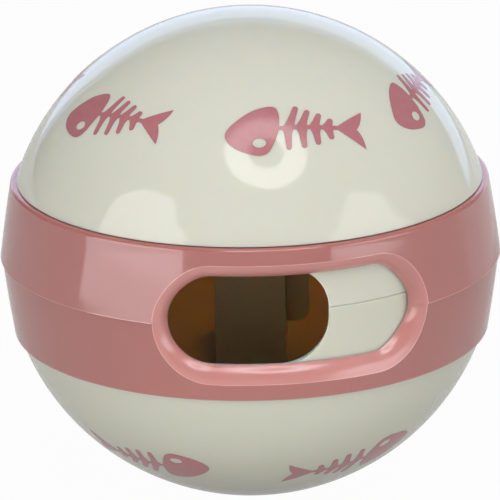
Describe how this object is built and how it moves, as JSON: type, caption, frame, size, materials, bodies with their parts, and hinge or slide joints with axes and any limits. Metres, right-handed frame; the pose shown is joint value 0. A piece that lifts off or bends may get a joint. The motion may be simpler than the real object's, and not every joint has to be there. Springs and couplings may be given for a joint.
{
  "type": "treat dispensing ball",
  "caption": "Hollow treat ball for a cat: half shells plugged together at a square centre post, and a turning ring whose window opens or closes the treat opening.",
  "frame": {"origin": "centre of the ball", "axes": "+Z along the axis that the ring turns about, up through the upper shell; -Y out of the middle of the treat opening"},
  "size_m": [0.0712, 0.0698, 0.07],
  "materials": {
    "cream_plastic_lower": "smooth glossy moulded plastic, cream",
    "cream_plastic_upper": "smooth glossy moulded plastic, cream",
    "dusty_pink_plastic": "smooth glossy moulded plastic, dusty pink",
    "pink_ink": "thin printed ink, dusty pink"
  },
  "bodies": {
    "lower_half": {"lower_shell": "cream_plastic_lower"},
    "upper_half": {"upper_shell": "cream_plastic_upper"},
    "ring": {"adjusting_ring": "dusty_pink_plastic"}
  },
  "joints": [
    {"name": "ring_turn", "type": "hinge", "parent": "lower_half", "child": "ring", "pos_m": [0, 0, 0], "axis": [0, 0, 1], "continuous": true},
    {"name": "upper_lift", "type": "slide", "parent": "lower_half", "child": "upper_half", "axis": [0, 0, 1], "range_m": [0, 0.045]}
  ]
}
